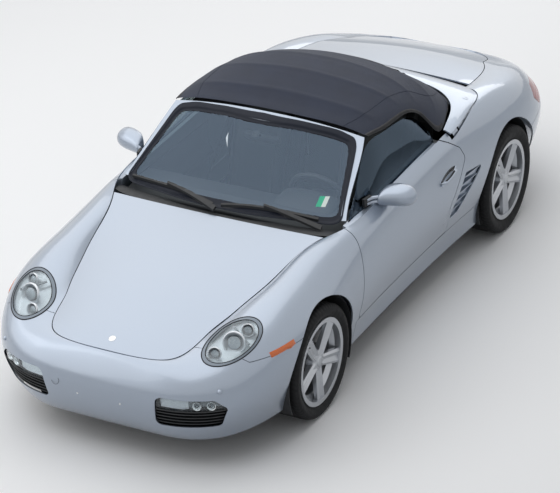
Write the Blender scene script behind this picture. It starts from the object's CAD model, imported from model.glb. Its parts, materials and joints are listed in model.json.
# %% [markdown]
# # A two-seat convertible car
#
# The body comes from the CAD frame: every panel, wheel and seat is already in its place there.
# This file gives each of them its finish, adds what is too fine for the CAD, such as tyre tread,
# seals, lamp bowls and stitching, and replaces the plain soft solids by sewn cloth and leather.

# %% Load the frame
import json
import math

import bmesh
import bpy
import numpy as np
from mathutils import Matrix, Vector
from mathutils.bvhtree import BVHTree


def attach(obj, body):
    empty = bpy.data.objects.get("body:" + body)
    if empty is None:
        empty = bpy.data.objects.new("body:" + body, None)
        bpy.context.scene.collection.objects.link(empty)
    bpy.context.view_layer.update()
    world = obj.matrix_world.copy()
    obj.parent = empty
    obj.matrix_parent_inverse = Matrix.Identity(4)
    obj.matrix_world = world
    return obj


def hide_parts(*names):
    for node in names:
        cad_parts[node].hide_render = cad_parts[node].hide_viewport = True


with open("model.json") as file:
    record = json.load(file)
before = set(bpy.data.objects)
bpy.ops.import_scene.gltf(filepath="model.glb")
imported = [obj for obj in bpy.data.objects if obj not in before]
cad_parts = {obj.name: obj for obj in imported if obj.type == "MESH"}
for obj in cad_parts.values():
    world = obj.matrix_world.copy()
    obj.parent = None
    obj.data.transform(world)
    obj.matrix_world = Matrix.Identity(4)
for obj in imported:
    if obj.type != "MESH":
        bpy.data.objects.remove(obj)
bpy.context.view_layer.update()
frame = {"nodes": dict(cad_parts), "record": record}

# %% [markdown]
# ## Colours and nodes
#
# Paint and plastic colours are chosen by eye on a screen, so they are written as sRGB hex values.
# Blender mixes light in linear values, so one function turns them over. A second small function
# adds a node to a material: a number or colour sets the socket, and another node's output is
# linked to it.

# %% Colour and node helpers
def linear(hex_colour):
    """A hex sRGB colour as linear red, green, blue and alpha."""
    channels = [int(hex_colour[k : k + 2], 16) / 255 for k in (1, 3, 5)]
    return [c / 12.92 if c <= 0.04045 else ((c + 0.055) / 1.055) ** 2.4 for c in channels] + [1.0]


def add_node(tree, kind, inputs=None, **settings):
    """Adds a node, with its settings, and its inputs either set or linked."""
    node = tree.nodes.new(kind)
    for name, value in settings.items():
        setattr(node, name, value)
    for socket, value in (inputs or {}).items():
        if isinstance(value, bpy.types.NodeSocket):
            tree.links.new(value, node.inputs[socket])
        else:
            node.inputs[socket].default_value = value
    return node


def new_material(name, colour, metallic, roughness, **sockets):
    """A material with one Principled shader: returns it, its node tree, shader and coordinates."""
    material = bpy.data.materials.new(name)
    material.use_nodes = True
    tree = material.node_tree
    shader = tree.nodes["Principled BSDF"]
    shader.inputs["Base Color"].default_value = linear(colour)
    shader.inputs["Metallic"].default_value = metallic
    shader.inputs["Roughness"].default_value = roughness
    for socket, value in sockets.items():
        shader.inputs[socket.replace("_", " ")].default_value = value
    place = tree.nodes.new("ShaderNodeTexCoord").outputs["Object"]
    return material, tree, shader, place


print("paint grey in linear light", [round(c, 3) for c in linear("#98A2B0")])

# %% [markdown]
# ## Patterns
#
# Object coordinates are in metres here, so a noise whose grains are s metres apart has a scale of
# 1 / s. Two patterns come back on most finishes: a bump for the grain, and a change of colour or
# roughness over the surface. Each finish asks for them with its own real size.

# %% Grain and variation
MM = 0.001
COLOUR_A, COLOUR_B, COLOUR_OUT = 6, 7, 2  # the colour sockets of a Mix node, by place
NOISE_LOW, NOISE_HIGH = 0.3, 0.7  # nearly all of the noise lies between these


def grain(tree, shader, place, size_mm, depth_mm, detail=2.0, rough=0.6):
    """A bump of irregular grain, size_mm apart and depth_mm high."""
    grains = {"Vector": place, "Scale": 1 / (size_mm * MM), "Detail": detail, "Roughness": rough}
    noise = add_node(tree, "ShaderNodeTexNoise", grains)
    heights = {"Height": noise.outputs["Fac"], "Distance": depth_mm * MM, "Strength": 1.0}
    bump = add_node(tree, "ShaderNodeBump", heights)
    tree.links.new(bump.outputs["Normal"], shader.inputs["Normal"])


def vary(tree, shader, place, socket, size_mm, low, high):
    """Lets a socket drift between two values, or two hex colours, over patches of that size."""
    patches = {"Vector": place, "Scale": 1 / (size_mm * MM), "Detail": 3.0}
    noise = add_node(tree, "ShaderNodeTexNoise", patches)
    if isinstance(low, str):
        ramp = add_node(tree, "ShaderNodeMix", {"Factor": noise.outputs["Fac"]}, data_type="RGBA")
        ramp.inputs[COLOUR_A].default_value = linear(low)
        ramp.inputs[COLOUR_B].default_value = linear(high)
        tree.links.new(ramp.outputs[COLOUR_OUT], shader.inputs[socket])
    else:
        span = {"From Min": NOISE_LOW, "From Max": NOISE_HIGH, "To Min": low, "To Max": high}
        ramp = add_node(tree, "ShaderNodeMapRange", {"Value": noise.outputs["Fac"], **span})
        tree.links.new(ramp.outputs["Result"], shader.inputs[socket])


def make_finish(name, colour, metallic, roughness, varied=None, grained=None, **sockets):
    """A material with its drift of one socket and its grain, where it has them."""
    material, tree, shader, place = new_material(name, colour, metallic, roughness, **sockets)
    if varied:
        vary(tree, shader, place, *varied)
    if grained:
        grain(tree, shader, place, *grained)
    return material


print("grains 2 mm apart have a noise scale of", 1 / (2 * MM))

# %% [markdown]
# ## Painted metal and alloy
#
# The body is silver metallic: a base coat full of aluminium flakes under a clear coat. Flakes are
# about 0.03 mm, far too fine to show, so the sparkle is drawn 2 mm coarse as a slight change of
# tone. The base is a metal, which darkens as it turns from the light, and the coat is smooth and
# sharp above it. The wheels have the same build with a duller coat.

# %% Paint, alloy and cast iron
paint = make_finish(
    "silver_metallic_clearcoat_paint", "#98A2B0", 0.72, 0.36,
    varied=("Base Color", 2.0, "#939DAB", "#9DA7B5"),
    Coat_Weight=1.0, Coat_Roughness=0.02, Coat_IOR=1.5,
)

alloy = make_finish(
    "silver_painted_cast_alloy", "#AEB2B7", 0.75, 0.34,
    varied=("Base Color", 3.0, "#A6AAB0", "#B6B9BE"),
    Coat_Weight=0.7, Coat_Roughness=0.08,
)

cast_iron = make_finish(
    "machined_cast_iron", "#77787A", 0.9, 0.42,
    varied=("Base Color", 9.0, "#5E5C5A", "#87888A"), grained=(1.2, 0.05),
)

bright_steel = make_finish("polished_stainless_steel", "#C9CBCD", 1.0, 0.18, grained=(3.0, 0.01))
print("metals", [material.name for material in (paint, alloy, cast_iron, bright_steel)])

# %% [markdown]
# ## Rubber, plastic and glass
#
# Tyre rubber and moulded plastic are matt with a fine grain. Glass here is a thin curved sheet: a
# grey-green tint lets the cabin show through and a mirror-like share of light comes off it, more
# at a shallow angle. Bent light through a 5 mm sheet hardly shifts, so the tint is a plain
# see-through layer, which also lets the lamps light the cabin. Rubber and fired ceramic give back
# less light than plastic, so their specular level is low.

# %% Rubber and plastics
tyre_rubber = make_finish(
    "black_tyre_rubber", "#131416", 0.0, 0.78,
    varied=("Roughness", 25.0, 0.7, 0.86), grained=(1.5, 0.08),
    Specular_IOR_Level=0.3,
)

black_plastic = make_finish(
    "black_moulded_polypropylene", "#1E2023", 0.0, 0.55,
    varied=("Roughness", 40.0, 0.48, 0.62), grained=(0.9, 0.05),
)

gloss_plastic = make_finish(
    "black_gloss_abs", "#17181B", 0.0, 0.22, grained=(30.0, 0.03), Coat_Weight=0.3
)

seal_rubber = make_finish(
    "black_extruded_seal_rubber", "#0D0F14", 0.0, 0.5,
    varied=("Roughness", 15.0, 0.42, 0.6),
    Specular_IOR_Level=0.25,
)

dash_trim = make_finish(
    "dark_grey_slush_moulded_dash_skin", "#3B3D41", 0.0, 0.58,
    varied=("Base Color", 60.0, "#383A3E", "#404246"), grained=(1.4, 0.12),
)

floor_coat = make_finish("sprayed_underbody_coat", "#191A1B", 0.0, 0.85, grained=(4.0, 0.5))
print("finishes so far", len(bpy.data.materials))

# %% Glass
SKY_TINT = "#A9BFD8"
EDGE_SHINE, EDGE_POWER = 0.9, 4.0  # the mirror-like share seen edge-on, and how late it rises


def see_through(name, tint, shine, mirror=SKY_TINT):
    """A thin clear sheet: tinted straight through, with mirror-like light off its surface."""
    material = bpy.data.materials.new(name)
    material.use_nodes = True
    tree = material.node_tree
    shader = tree.nodes["Principled BSDF"]
    shader.inputs["Base Color"].default_value = linear(mirror)
    shader.inputs["Metallic"].default_value = 1.0
    shader.inputs["Roughness"].default_value = 0.03
    through = add_node(tree, "ShaderNodeBsdfTransparent", {"Color": linear(tint)})
    edge = add_node(tree, "ShaderNodeLayerWeight", {"Blend": 0.5})
    steep = add_node(
        tree, "ShaderNodeMath", {0: edge.outputs["Facing"], 1: EDGE_POWER}, operation="POWER"
    )
    span = {"To Min": shine, "To Max": EDGE_SHINE}
    share = add_node(tree, "ShaderNodeMapRange", {"Value": steep.outputs[0], **span})
    layers = {0: share.outputs["Result"], 1: through.outputs["BSDF"], 2: shader.outputs["BSDF"]}
    mix = add_node(tree, "ShaderNodeMixShader", layers)
    tree.links.new(mix.outputs["Shader"], tree.nodes["Material Output"].inputs["Surface"])
    return material


windshield_tint = see_through("grey_green_laminated_glass", "#DCE3E4", 0.12)
side_tint = see_through("grey_toughened_glass", "#B4BCBC", 0.08)
clear_lens = see_through("clear_moulded_polycarbonate", "#F1F4F5", 0.05, mirror="#E9EDF1")
print("glass", [material.name for material in (windshield_tint, side_tint, clear_lens)])

# %% Lenses and reflector
red_lens = make_finish(
    "red_moulded_acrylic_lens", "#8E0E16", 0.0, 0.1,
    varied=("Base Color", 18.0, "#820B12", "#A0141B"),
    Coat_Weight=0.25, Coat_Roughness=0.02,
)
amber_lens = make_finish(
    "amber_moulded_acrylic_lens", "#D9661A", 0.0, 0.12,
    varied=("Base Color", 10.0, "#CF5A12", "#E07022"),
    Coat_Weight=0.3, Coat_Roughness=0.02,
)
reflector = make_finish("vacuum_metallised_reflector", "#D5D8DA", 1.0, 0.1, grained=(14.0, 0.12))
print("lamps", [material.name for material in (red_lens, amber_lens, reflector)])

# %% Small finishes
ceramic_band = make_finish(
    "black_ceramic_band", "#0D1422", 0.0, 0.45,
    varied=("Roughness", 30.0, 0.4, 0.5),
    Specular_IOR_Level=0.22,
)
sticker_green = make_finish(
    "green_printed_vinyl", "#2FB08A", 0.0, 0.5, varied=("Roughness", 10.0, 0.45, 0.55)
)
sticker_white = make_finish(
    "white_printed_vinyl", "#D9E3DF", 0.0, 0.5, varied=("Roughness", 10.0, 0.45, 0.55)
)
lamp_band = make_finish(
    "grey_painted_lamp_surround", "#6E7883", 0.4, 0.4,
    varied=("Roughness", 20.0, 0.36, 0.46),
    Coat_Weight=0.4,
)
lamp_silver = make_finish(
    "satin_metallised_lamp_bowl", "#D9DDE2", 0.45, 0.3, grained=(16.0, 0.1), Coat_Weight=0.3
)
dark_chrome = make_finish("dark_chromed_abs", "#6E7276", 1.0, 0.18, grained=(20.0, 0.05))
lamp_glass = make_finish(
    "pressed_lamp_glass", "#9AA3AA", 0.35, 0.06,
    grained=(5.0, 0.15),
    Coat_Weight=1.0, Coat_Roughness=0.01,
)

print("finishes so far", len(bpy.data.materials))

# %% [markdown]
# ## Roof cloth and leather
#
# The roof is woven acrylic over a rubber layer. Its threads are about 0.6 mm apart, too fine to
# show at this distance, so the weave is drawn 2.5 mm coarse. Leather has a pebble grain of about
# 1.5 mm and a soft shine.

# %% Cloth and leather
roof_cloth, tree, shader, place = new_material(
    "dark_blue_woven_acrylic_roof_cloth", "#151C2C", 0.0, 0.86, Sheen_Weight=0.08, Sheen_Roughness=0.5
)
WEAVE_MM, THREAD_MM = 2.5, 0.12  # how far apart the threads are drawn, and how high they stand
split = add_node(tree, "ShaderNodeSeparateXYZ", {"Vector": place})
waves = []
for direction in ("X", "Y"):
    turn = {0: split.outputs[direction], 1: 2 * math.pi / (WEAVE_MM * MM)}
    turns = add_node(tree, "ShaderNodeMath", turn, operation="MULTIPLY")
    waves.append(add_node(tree, "ShaderNodeMath", {0: turns.outputs[0]}, operation="SINE"))
crossing = {0: waves[0].outputs[0], 1: waves[1].outputs[0]}
threads = add_node(tree, "ShaderNodeMath", crossing, operation="MULTIPLY")
heights = {"Height": threads.outputs[0], "Distance": THREAD_MM * MM, "Strength": 1.0}
weave = add_node(tree, "ShaderNodeBump", heights)
tree.links.new(weave.outputs["Normal"], shader.inputs["Normal"])
vary(tree, shader, place, "Base Color", 130.0, "#151C2C", "#20293D")

leather = make_finish(
    "black_grained_leather", "#222327", 0.0, 0.48,
    varied=("Roughness", 70.0, 0.4, 0.58), grained=(1.6, 0.15, 4.0),
    Coat_Weight=0.12, Coat_Roughness=0.35,
)

print("the weave is drawn", WEAVE_MM, "mm coarse")

# %% [markdown]
# ## Finishes for the CAD pieces
#
# The record gives each CAD node a material slot. Most nodes take the finish of their slot, and a
# few take a special one, which the second table names.

# %% Dress the CAD nodes
SLOT_FINISH = {
    "silver_paint": paint,
    "clear_glass": side_tint,
    "black_plastic": black_plastic,
    "grey_plastic": dash_trim,
    "roof_fabric": roof_cloth,
    "lamp_chrome": reflector,
    "red_lens": red_lens,
    "underbody_coat": floor_coat,
    "black_leather": leather,
    "steel": bright_steel,
    "cast_metal": cast_iron,
    "tyre_rubber": tyre_rubber,
    "wheel_alloy": alloy,
}
NODE_FINISH = {
    "windshield_glass": windshield_tint,
    "headlamp_lenses": clear_lens,
    "bumper_lamps": clear_lens,
    "headlamp_housings": lamp_silver,
    "steering_wheel": leather,
}
slots = {entry["node"]: entry["material_slot"] for entry in frame["record"]["subparts"]}
for node, piece in frame["nodes"].items():
    finish = NODE_FINISH.get(node, SLOT_FINISH[slots[node]])
    piece.data.materials.clear()
    piece.data.materials.append(finish)
print("dressed", len(slots), "CAD nodes")

# %% [markdown]
# ## Helpers for new pieces
#
# Trim follows the body's curved skin, so its points are found by shining a ray onto a CAD node's
# mesh. A piece is then a grid of points, a shape spun round an axis, or a round tube along a line.
# Each rides on the CAD body that carries it.

# %% Points on the skin
scene = bpy.context.scene


def skin_of(*nodes):
    """A search tree over the faces of CAD nodes."""
    points, faces = [], []
    for node in nodes:
        mesh = frame["nodes"][node].data
        start = len(points)
        points += [v.co.copy() for v in mesh.vertices]
        faces += [[start + k for k in polygon.vertices] for polygon in mesh.polygons]
    return BVHTree.FromPolygons(points, faces)


def on_skin(skin, start, direction, lift=0.0):
    """Where a ray meets the skin, lifted off it by that distance against the ray, or None."""
    direction = Vector(direction).normalized()
    place = skin.ray_cast(Vector(start), direction)[0]
    return None if place is None else place - direction * lift


def under(skin, x, y):
    """The highest point of a skin at (x, y), and its normal there; None where there is no skin."""
    return skin.ray_cast(Vector((x, y, 2)), Vector((0, 0, -1)))[:2]


print("at x 1.5 the hood is", round(under(skin_of("hood"), 1.5, 0)[0].z, 3), "m high")

# %% Pieces from a grid of points
def add_mesh(name, points, faces, material, body, smooth=True):
    """A mesh piece from points and faces that rides on a body."""
    mesh = bpy.data.meshes.new(name)
    mesh.from_pydata([tuple(p) for p in points], [], faces)
    mesh.polygons.foreach_set("use_smooth", [smooth] * len(mesh.polygons))
    mesh.materials.append(material)
    mesh.validate()
    piece = bpy.data.objects.new(name, mesh)
    scene.collection.objects.link(piece)
    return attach(piece, body)


def grid_faces(rows, columns, closed=False):
    """Quads over a grid of points, row by row. closed joins each row's end to its start."""
    faces = []
    for r in range(rows - 1):
        for c in range(columns if closed else columns - 1):
            a, b = r * columns + c, r * columns + (c + 1) % columns
            faces.append((a, b, b + columns, a + columns))
    return faces


print("a grid of 3 by 4 points has", len(grid_faces(3, 4)), "faces")


# %% Pieces spun round an axis
def frame_of(axis, side=(0, 0, 1)):
    """Three unit vectors: across, up and along that axis."""
    along = Vector(axis).normalized()
    across = Vector(side).cross(along).normalized()
    return across, along.cross(across), along


def spun(name, profile, place, axis, material, body, steps=48, side=(0, 0, 1), smooth=True):
    """A profile of (radius, height), in metres, spun round an axis that stands at place."""
    across, up, along = frame_of(axis, side)
    points = []
    for radius, height in profile:
        for k in range(steps):
            turn = 2 * math.pi * k / steps
            out = across * math.cos(turn) + up * math.sin(turn)
            points.append(Vector(place) + along * height + out * radius)
    faces = grid_faces(len(profile), steps, closed=True)
    return add_mesh(name, points, faces, material, body, smooth)


print("across, up and along for a left hub", [tuple(axis) for axis in frame_of((0, 1, 0))])


# %% Tubes and bars
def tube(name, path, radius, material, body, closed=False):
    """A round tube along a path of points."""
    curve = bpy.data.curves.new(name, "CURVE")
    curve.dimensions = "3D"
    curve.bevel_depth = radius
    curve.bevel_resolution = 2
    curve.use_fill_caps = True
    line = curve.splines.new("POLY")
    line.points.add(len(path) - 1)
    for point, spot in zip(path, line.points):
        spot.co = (*point, 1)
    line.use_cyclic_u = closed
    curve.materials.append(material)
    piece = bpy.data.objects.new(name, curve)
    scene.collection.objects.link(piece)
    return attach(piece, body)


def bar(name, start, end, width, height, material, body, up=(0, 0, 1), bevel=0.2):
    """A straight bar with bevelled edges between two points."""
    a, b = Vector(start), Vector(end)
    across, rise, along = frame_of(b - a, up)
    mesh = bmesh.new()
    bmesh.ops.create_cube(mesh, size=1)
    for vert in mesh.verts:
        x, y, z = vert.co
        length = (b - a).length
        vert.co = (a + b) / 2 + across * (x * width) + rise * (y * height) + along * (z * length)
    offset = bevel * min(width, height)
    bmesh.ops.bevel(
        mesh, geom=list(mesh.edges), offset=offset, segments=2, affect="EDGES", profile=0.5
    )
    data = bpy.data.meshes.new(name)
    mesh.to_mesh(data)
    mesh.free()
    data.polygons.foreach_set("use_smooth", [False] * len(data.polygons))
    data.materials.append(material)
    piece = bpy.data.objects.new(name, data)
    scene.collection.objects.link(piece)
    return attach(piece, body)


SIDES = (("left", 1), ("right", -1))
shell = "body_shell"

# %% [markdown]
# ## Tyres
#
# A road tyre has four grooves round it, short cuts across its ribs, and fine rings on its sides.
# The CAD tyre carries the outline. Here the profile is spun with a sample every 2.6 mm across the
# tread, and each point moves inwards where it lies in a groove or a cut. The cuts lean, as on a
# real tread, and their pattern repeats 72 times round.

# %% Tyre mesh
PITCHES, STEPS = 72, 6
TYRES = {  # middle x and y, outer radius, width
    "front": (1.2445, 0.740, 0.3225, 0.235),
    "rear": (-1.1705, 0.757, 0.3345, 0.262),
}
SEAT_R = 0.2286  # where the bead sits on an 18 inch rim
TREAD_STEP_MM, SHOULDER_MM = 2.6, 26
GROOVE_DEEP, GROOVE_HALF, GROOVES_AT = 0.007, 0.0045, (0.1, 0.3)  # places as shares of the width
CUT_DEEP, CUT_WIDE, CUT_LEAN, CUT_SHIFT = 0.0035, 1.2 / STEPS, 0.055, 0.37


def tyre_mesh(name, side, x, y, radius, width):
    """A tyre with its tread cut in, spun about its hub."""
    half = width / 2
    bead = [(SEAT_R, half - 0.034), (SEAT_R, half - 0.018), (0.2495, half - 0.017)]
    rings = [(0.262, half - 0.0095), (0.2655, half - 0.0085), (0.268, half - 0.0062)]
    wall = [(radius - 0.040, half - 0.001), (radius - 0.034, half), (radius - 0.022, half - 0.0006)]
    shoulder = [(radius - 0.0205, half - 0.0026), (radius - 0.012, half - 0.0048)]
    shoulder += [(radius - 0.0055, half - 0.012), (radius - 0.0016, half - 0.021)]
    edge = bead + rings + wall + shoulder
    tread_half = half / MM - SHOULDER_MM
    tread_places = np.arange(tread_half, -tread_half - 0.1, -TREAD_STEP_MM)
    tread = [(radius - 0.0002, across * MM) for across in tread_places]
    profile = edge + tread + [(r, -across) for r, across in reversed(edge)]
    count = PITCHES * STEPS
    points = []
    for r, across in profile:
        for k in range(count):
            phase = (k / STEPS + across / CUT_LEAN) % 1.0
            depth = 0.0
            if r > radius - 0.0175:
                groove = min(abs(abs(across) - share * width) for share in GROOVES_AT)
                rib = int((across / width + 0.5) * 5)
                depth = GROOVE_DEEP if groove < GROOVE_HALF and r > radius - 0.001 else 0.0
                if (phase + CUT_SHIFT * rib) % 1.0 < CUT_WIDE and abs(across) > 0.12 * width:
                    depth = max(depth, CUT_DEEP)
            turn = 2 * math.pi * k / count
            out = r - depth
            points.append((x + out * math.cos(turn), y + side * across, out * math.sin(turn) + radius))
    faces = grid_faces(len(profile), count, closed=True)
    if side > 0:
        faces = [face[::-1] for face in faces]
    return add_mesh(name, points, faces, tyre_rubber, name.replace("tread", "wheel"))


print("samples round a tyre", PITCHES * STEPS)

# %% Tyres
for side_name, side in SIDES:
    for axle, (x, y, radius, width) in TYRES.items():
        tyre = tyre_mesh(f"tread_{axle}_{side_name}", side, x, side * y, radius, width)
        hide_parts(f"tyre_{axle}_{side_name}")
print("tyre faces", len(tyre.data.polygons))

# %% [markdown]
# ## Wheel bolts, caps and valves
#
# Five bolts stand in a 130 mm circle round the hub, each a hexagon with a dished end in a dark
# seat, and a plain cap closes the middle. A rubber valve comes through the rim between two spokes.
# The profiles below are (radius, height) in metres, from the middle out or the rim in.

# %% Wheel trim
BOLT_CIRCLE_R, BOLTS = 0.065, 5
FIRST_BOLT = math.radians(90 + 36)
HUB_DEPTH = 0.030  # how far the hub's face lies inside the tyre's side
VALVE_R, VALVE_TURN = 0.195, 0.9
CAP_PROFILE = [(0.0, 0.006), (0.02, 0.0055), (0.027, 0.004), (0.0295, 0.001), (0.0295, -0.004)]
BOLT_SEAT_PROFILE = [(0.0165, 0.004), (0.0155, -0.001), (0.0150, -0.012)]
BOLT_PROFILE = [(0.0, 0.003), (0.006, 0.0032), (0.0095, 0.0015), (0.0110, 0.0), (0.0112, -0.010)]
for side_name, side in SIDES:
    for axle, (x, y, radius, width) in TYRES.items():
        body, name = f"wheel_{axle}_{side_name}", f"{axle}_{side_name}"
        face = side * (y + width / 2 - HUB_DEPTH)
        out = (0, side, 0)
        hub = Vector((x, face, radius))
        spun(f"cap_{name}", CAP_PROFILE, hub + Vector((0, side * 0.004, 0)), out, alloy, body)
        for k in range(BOLTS):
            turn = FIRST_BOLT + 2 * math.pi * k / BOLTS
            place = hub + Vector((math.cos(turn), 0, math.sin(turn))) * BOLT_CIRCLE_R
            place.y -= side * 0.012
            seat = f"bolt_seat_{name}_{k}"
            spun(seat, BOLT_SEAT_PROFILE, place, out, black_plastic, body, steps=24)
            bolt = f"bolt_{name}_{k}"
            spun(bolt, BOLT_PROFILE, place, out, bright_steel, body, steps=6, smooth=False)
        stem = hub + Vector((math.cos(VALVE_TURN), 0, math.sin(VALVE_TURN))) * VALVE_R
        stem.y -= side * 0.02
        tip = stem + Vector((-0.012, side * 0.028, -0.014))
        tube(f"valve_{name}", [stem, tip], 0.0045, seal_rubber, body)
print("bolts", BOLTS * len(SIDES) * len(TYRES))

# %% [markdown]
# ## Headlamps
#
# Behind a clear oval cover lies a bright bowl with three round lamps: a small one at the rear, a
# large projector in the middle and a turn lamp in front. A grey painted band with a black line on
# each side closes the gap to the body. The oval is the CAD one: its middle, its axes and its half
# sizes come from there, and rays find the skin of the CAD cover.

# %% Places on the headlamp
LAMP_AT = Vector((1.795, 0.612, 0.675))
LAMP_OUT = Vector((0.66, 0.30, 0.69)).normalized()
LAMP_LONG = Vector((-0.725, 0.494, 0.479))
LAMP_LONG = (LAMP_LONG - LAMP_OUT * LAMP_LONG.dot(LAMP_OUT)).normalized()
LAMP_WIDE = LAMP_OUT.cross(LAMP_LONG)
LAMP_HALF, OVAL_STEPS = (0.186, 0.114), 72
lens_skin = skin_of("headlamp_lenses")


def flip(point, side):
    """The point itself for side 1, and its mirror image across the car for side -1."""
    return Vector((point[0], side * point[1], point[2]))


def lamp_point(long, wide, depth=0.0):
    """A point on the left lamp's cover at shares of its half sizes, sunk by depth."""
    flat = LAMP_AT + LAMP_LONG * (long * LAMP_HALF[0]) + LAMP_WIDE * (wide * LAMP_HALF[1])
    place = lens_skin.ray_cast(flat + LAMP_OUT * 0.2, -LAMP_OUT)[0]
    if place is None:
        place = lens_skin.find_nearest(flat)[0]
    return place - LAMP_OUT * depth


def oval(share, depth=0.0):
    """A ring on the left lamp's cover at that share of its half sizes."""
    turns = [2 * math.pi * k / OVAL_STEPS for k in range(OVAL_STEPS)]
    return [lamp_point(share * math.cos(t), share * math.sin(t), depth) for t in turns]


print("headlamp", [round(2 * half, 3) for half in LAMP_HALF], "m long and wide")

# %% Headlamp bands and bowls
BAND_SHARES = (0.985, 0.86)
BOWL_ROWS = [(0.93, 0.004), (0.9, 0.02), (0.8, 0.034), (0.55, 0.05), (0.05, 0.06)]  # share, depth
band_ovals = [oval(share) for share in BAND_SHARES]
bowl_rows = [oval(share, depth) for share, depth in BOWL_ROWS]
for side_name, side in SIDES:
    for share, ring, radius in zip(BAND_SHARES, band_ovals, (0.0032, 0.0024)):
        line = [flip(p + LAMP_OUT * 0.0008, side) for p in ring]
        name = f"lamp_line_{side_name}_{round(share * 1000)}"
        tube(name, line, radius, seal_rubber, shell, closed=True)
    band = [flip(p + LAMP_OUT * 0.0015, side) for ring in band_ovals for p in ring]
    faces = grid_faces(len(band_ovals), OVAL_STEPS, closed=True)
    add_mesh(f"lamp_band_{side_name}", band, faces, lamp_band, shell)
    bowl = [flip(p, side) for row in bowl_rows for p in row]
    faces = grid_faces(len(bowl_rows), OVAL_STEPS, closed=True)
    add_mesh(f"lamp_bowl_{side_name}", bowl, faces, lamp_silver, shell)
print("bowl points", len(bowl))

# %% Lamp units
LAMP_UNITS = [  # name, long, wide, depth, radius, glass bulge
    ("projector", 0.02, -0.10, 0.030, 0.056, 0.30),
    ("marker", 0.56, -0.02, 0.018, 0.032, 0.45),
    ("turn", -0.60, 0.05, 0.018, 0.034, 0.35),
]
CUP_PROFILE = [  # radius as a share of the lamp's, and height in metres
    (1.12, -0.004), (1.1, 0.005), (1.02, 0.009), (0.97, 0.004), (0.8, -0.014), (0.5, -0.026),
    (0.02, -0.03),
]
COLLAR_PROFILE = [(0.66, -0.02), (0.66, -0.004), (0.62, -0.002), (0.6, -0.006)]
EYE_SHARES = (0.62, 0.58, 0.5, 0.35, 0.2, 0.02)
for side_name, side in SIDES:
    for unit, long, wide, depth, radius, bulge in LAMP_UNITS:
        place = flip(lamp_point(long, wide, depth), side)
        out = flip(LAMP_OUT * 0.7 + Vector((0.5, 0, -0.1)), side)
        cup = [(radius * share, height) for share, height in CUP_PROFILE]
        spun(f"lamp_cup_{unit}_{side_name}", cup, place, out, lamp_silver, shell)
        eye = [(radius * s, radius * bulge * math.sqrt(1 - s * s) - 0.012) for s in EYE_SHARES]
        spun(f"lamp_eye_{unit}_{side_name}", eye, place, out, lamp_glass, shell)
        collar = [(radius * share, height) for share, height in COLLAR_PROFILE]
        spun(f"lamp_collar_{unit}_{side_name}", collar, place, out, dark_chrome, shell)
    bar(
        f"lamp_bridge_{side_name}",
        flip(lamp_point(0.30, -0.62, 0.014), side), flip(lamp_point(0.34, 0.62, 0.014), side),
        0.010, 0.006, dark_chrome, shell, up=flip(LAMP_OUT, side),
    )
print("lamp units", 2 * len(LAMP_UNITS))

# %% [markdown]
# ## Folding roof
#
# The roof is one sheet of cloth pulled over four cross bows: it stands up a little over each bow
# and sinks a little between them. Its rows are curves across the car, front to back, smoothed into
# a fine grid, and every point then drops onto the CAD roof so that the cloth stays where the
# closed roof is. The window opening is cut by moving the nearest points onto its outline. Seams,
# a rubber arch over each side window and the window's welded rim follow the same grid.

# %% Cloth grid
ROOF_ROWS = [  # (x, y, z) from the middle outwards, front row first, in millimetres
    [(232, 0, 1231), (228, 230, 1224), (212, 450, 1203), (194, 612, 1160)],
    [(50, 0, 1267), (50, 250, 1257), (40, 500, 1220), (24, 638, 1146)],
    [(-200, 0, 1295), (-200, 270, 1278), (-218, 520, 1220), (-236, 645, 1128)],
    [(-450, 0, 1278), (-450, 290, 1255), (-430, 545, 1178), (-366, 672, 1066)],
    [(-670, 0, 1205), (-660, 330, 1175), (-612, 600, 1088), (-462, 741, 934)],
    [(-870, 0, 1095), (-850, 310, 1075), (-800, 560, 1020), (-688, 690, 952)],
    [(-1018, 0, 978), (-990, 268, 976), (-915, 492, 967), (-808, 638, 958)],
]
CLOTH_ROWS, CLOTH_COLUMNS = 150, 133


def smooth_line(points, count):
    """A smooth line through points, as that many points spaced evenly by the points' index."""
    knots = np.array(points, float)
    ends = [2 * knots[0] - knots[1], 2 * knots[-1] - knots[-2]]
    padded = np.vstack([ends[0], knots, ends[1]])
    line = []
    for s in np.linspace(0, len(knots) - 1, count):
        k = min(int(s), len(knots) - 2)
        t = s - k
        a, b, c, d = padded[k : k + 4]
        square, cube = 2 * a - 5 * b + 4 * c - d, 3 * b - a - 3 * c + d
        line.append(0.5 * (2 * b + (c - a) * t + square * t**2 + cube * t**3))
    return np.array(line)


def both_sides(row):
    """A row from the middle outwards, with its mirror image in front."""
    return [(x, -y, z) for x, y, z in row[:0:-1]] + row


rows = np.array([smooth_line(both_sides(row), CLOTH_COLUMNS) for row in ROOF_ROWS])
lines = [smooth_line(rows[:, c], CLOTH_ROWS) for c in range(CLOTH_COLUMNS)]
cloth_grid = np.stack(lines, axis=1) * MM

print("cloth grid", cloth_grid.shape)

# %% Drop the cloth onto the CAD roof
roof_skin = skin_of("soft_top", "rear_window")
along_rows, across_rows = np.gradient(cloth_grid, axis=(0, 1))
outward = np.cross(across_rows, along_rows)
outward /= np.linalg.norm(outward, axis=2, keepdims=True)
if outward[5, CLOTH_COLUMNS // 2, 2] < 0:
    outward = -outward
DROP_REACH = 0.03
drop = np.full(cloth_grid.shape[:2], np.nan)
for r in range(CLOTH_ROWS):
    for c in range(CLOTH_COLUMNS):
        start = Vector(cloth_grid[r, c] + outward[r, c] * DROP_REACH)
        place = roof_skin.ray_cast(start, -Vector(outward[r, c]), 2 * DROP_REACH)[0]
        if place is not None:
            drop[r, c] = (place - Vector(cloth_grid[r, c])).dot(Vector(outward[r, c]))
    known = np.flatnonzero(~np.isnan(drop[r]))
    drop[r] = np.interp(np.arange(CLOTH_COLUMNS), known, drop[r][known]) if len(known) else 0.0
cloth_grid += outward * drop[..., None]
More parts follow.
